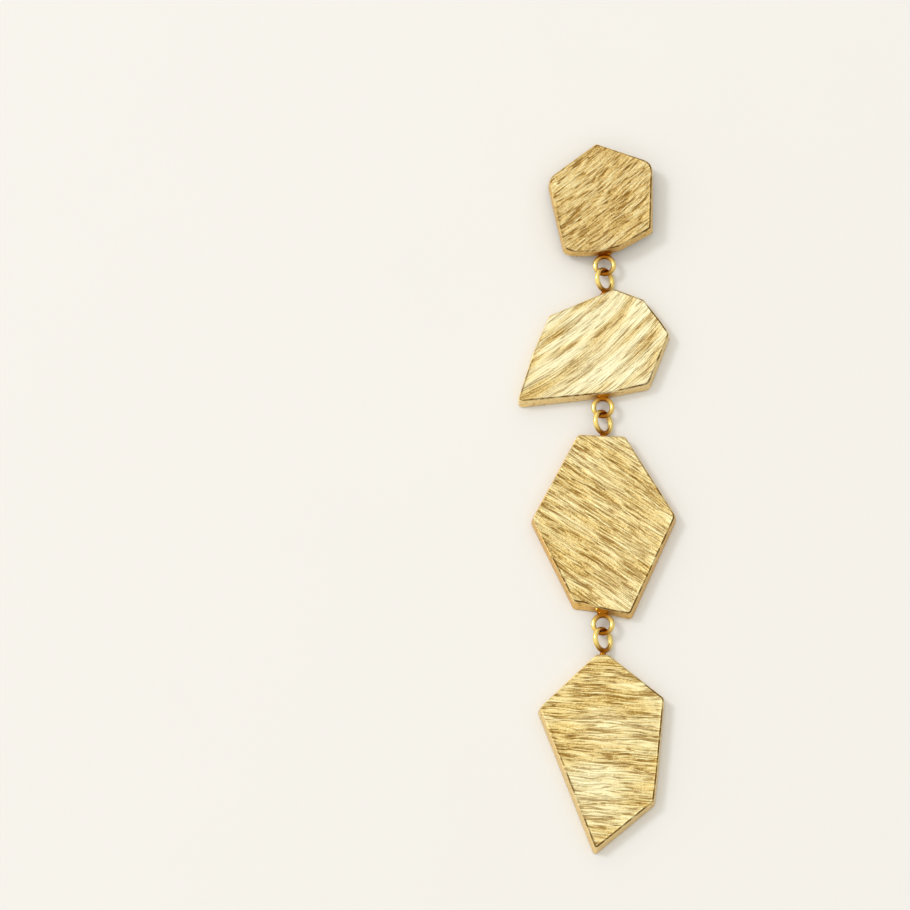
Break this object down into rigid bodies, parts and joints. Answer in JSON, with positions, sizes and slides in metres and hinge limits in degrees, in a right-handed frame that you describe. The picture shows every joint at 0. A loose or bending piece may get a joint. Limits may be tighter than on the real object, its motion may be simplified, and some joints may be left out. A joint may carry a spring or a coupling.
{
  "type": "drop earring",
  "caption": "Long drop earring of flat hand-brushed gold plates hung one below another on soldered ring links, with a closed flat clip behind the top plate.",
  "frame": {"origin": "middle of the underside, on the surface that the lower plates' backs lie on", "axes": "+Y along the chain towards the top plate, which goes at the ear, +Z out of the brushed faces, +X to the right seen from the front"},
  "size_m": [0.0204, 0.0958, 0.0027],
  "materials": {
    "gold_top_plate": "gold plate over brass, deep hand-brushed strokes rising to the right, satin",
    "gold_second_plate": "gold plate over brass, deep hand-brushed strokes rising to the right, bright",
    "gold_third_plate": "gold plate over brass, deep hand-brushed strokes falling to the right, dark in the grooves",
    "gold_bottom_plate": "gold plate over brass, deep hand-brushed strokes across, bright",
    "gold_ear_clip": "gold plate over brass, smooth"
  },
  "bodies": {
    "root": {"top_plate": "gold_top_plate", "second_plate": "gold_second_plate", "third_plate": "gold_third_plate", "bottom_plate": "gold_bottom_plate", "ear_clip": "gold_ear_clip"}
  },
  "joints": []
}
